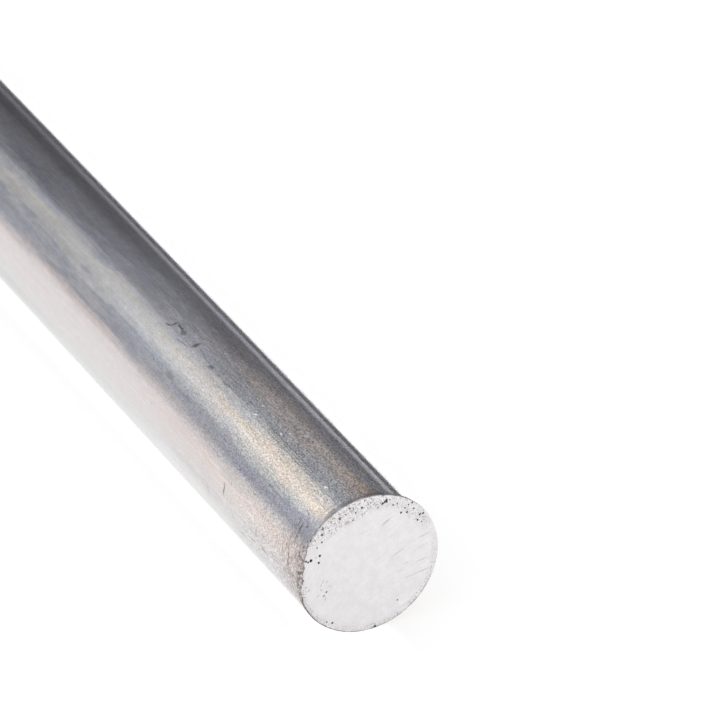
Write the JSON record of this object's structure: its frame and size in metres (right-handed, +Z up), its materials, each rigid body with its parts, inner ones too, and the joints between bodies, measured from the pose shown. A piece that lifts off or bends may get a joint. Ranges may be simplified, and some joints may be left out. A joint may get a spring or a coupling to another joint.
{
  "type": "round metal bar",
  "caption": "Solid round metal bar stock, sawn to length, mill finish, with square sawn ends and lightly broken rims.",
  "frame": {"origin": "on the floor, under the middle of the bar's length and under its axis", "axes": "+X along the bar towards the sawn end that the picture shows, +Z up, and the bar lies level on its side"},
  "size_m": [0.3, 0.02, 0.02],
  "materials": {
    "bar_metal": "mill finish, drawn, with fine lengthwise lines; bright sawn ends"
  },
  "bodies": {
    "root": {"round_bar": "bar_metal"}
  },
  "joints": []
}
